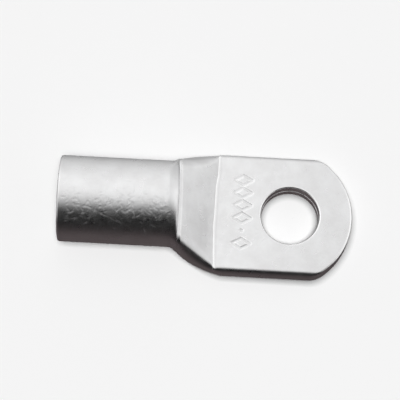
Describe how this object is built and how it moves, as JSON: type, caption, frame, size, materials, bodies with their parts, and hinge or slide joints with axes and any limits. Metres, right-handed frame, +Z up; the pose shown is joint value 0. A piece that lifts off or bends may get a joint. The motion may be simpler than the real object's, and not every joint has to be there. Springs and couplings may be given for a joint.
{
  "type": "cable lug",
  "caption": "Tin-plated tube cable lug: a round barrel for crimping on a conductor, stepped down to a flat palm with a hole for a stud.",
  "frame": {"origin": "centre of the stud hole, on the palm's underside, which is the contact face", "axes": "+X from the barrel's mouth towards the palm's rounded end, +Z up from the contact face, out of the face where the stud's nut sits"},
  "size_m": [0.0419, 0.0182, 0.0122],
  "materials": {
    "tin_plate": "satin tin plating over copper"
  },
  "bodies": {
    "root": {"cable_lug": "tin_plate"}
  },
  "joints": []
}
